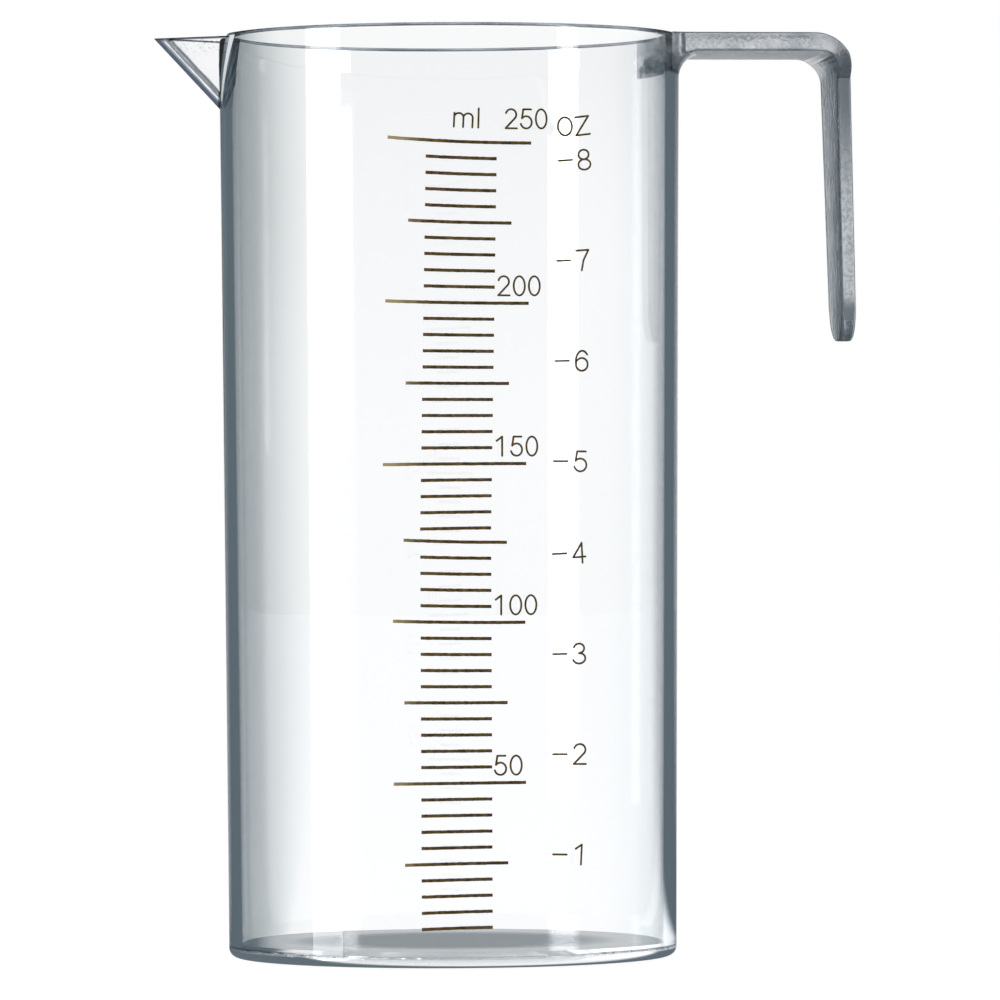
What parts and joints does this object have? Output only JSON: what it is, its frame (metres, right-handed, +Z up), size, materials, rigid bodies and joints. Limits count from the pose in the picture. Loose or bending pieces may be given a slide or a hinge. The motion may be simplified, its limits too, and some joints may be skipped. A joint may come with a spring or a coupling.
{
  "type": "resin mixing cup",
  "caption": "Clear tapered mixing cup with a V pouring spout, an open strap handle at the rim and a printed ml and oz scale on the front.",
  "frame": {"origin": "centre of the flat underside, on the axis of the barrel", "axes": "+Z up along the axis of the barrel, +X towards the handle, -X towards the spout, the scale on the -Y side"},
  "size_m": [0.0914, 0.06, 0.12],
  "materials": {
    "clear_plastic": "clear, polished, faintly blue-grey",
    "cloudy_plastic": "clear but cloudy, faintly rippled",
    "scale_ink": "dark brown printed ink, golden where it is thin"
  },
  "bodies": {
    "root": {"barrel": "clear_plastic", "base_disc": "clear_plastic", "pouring_spout": "clear_plastic", "handle": "cloudy_plastic", "ml_long_lines": "scale_ink", "ml_middle_lines": "scale_ink", "ml_short_lines": "scale_ink", "ml_numerals": "scale_ink", "ml_mark": "scale_ink", "oz_dashes": "scale_ink", "oz_numerals": "scale_ink", "oz_mark": "scale_ink"}
  },
  "joints": []
}
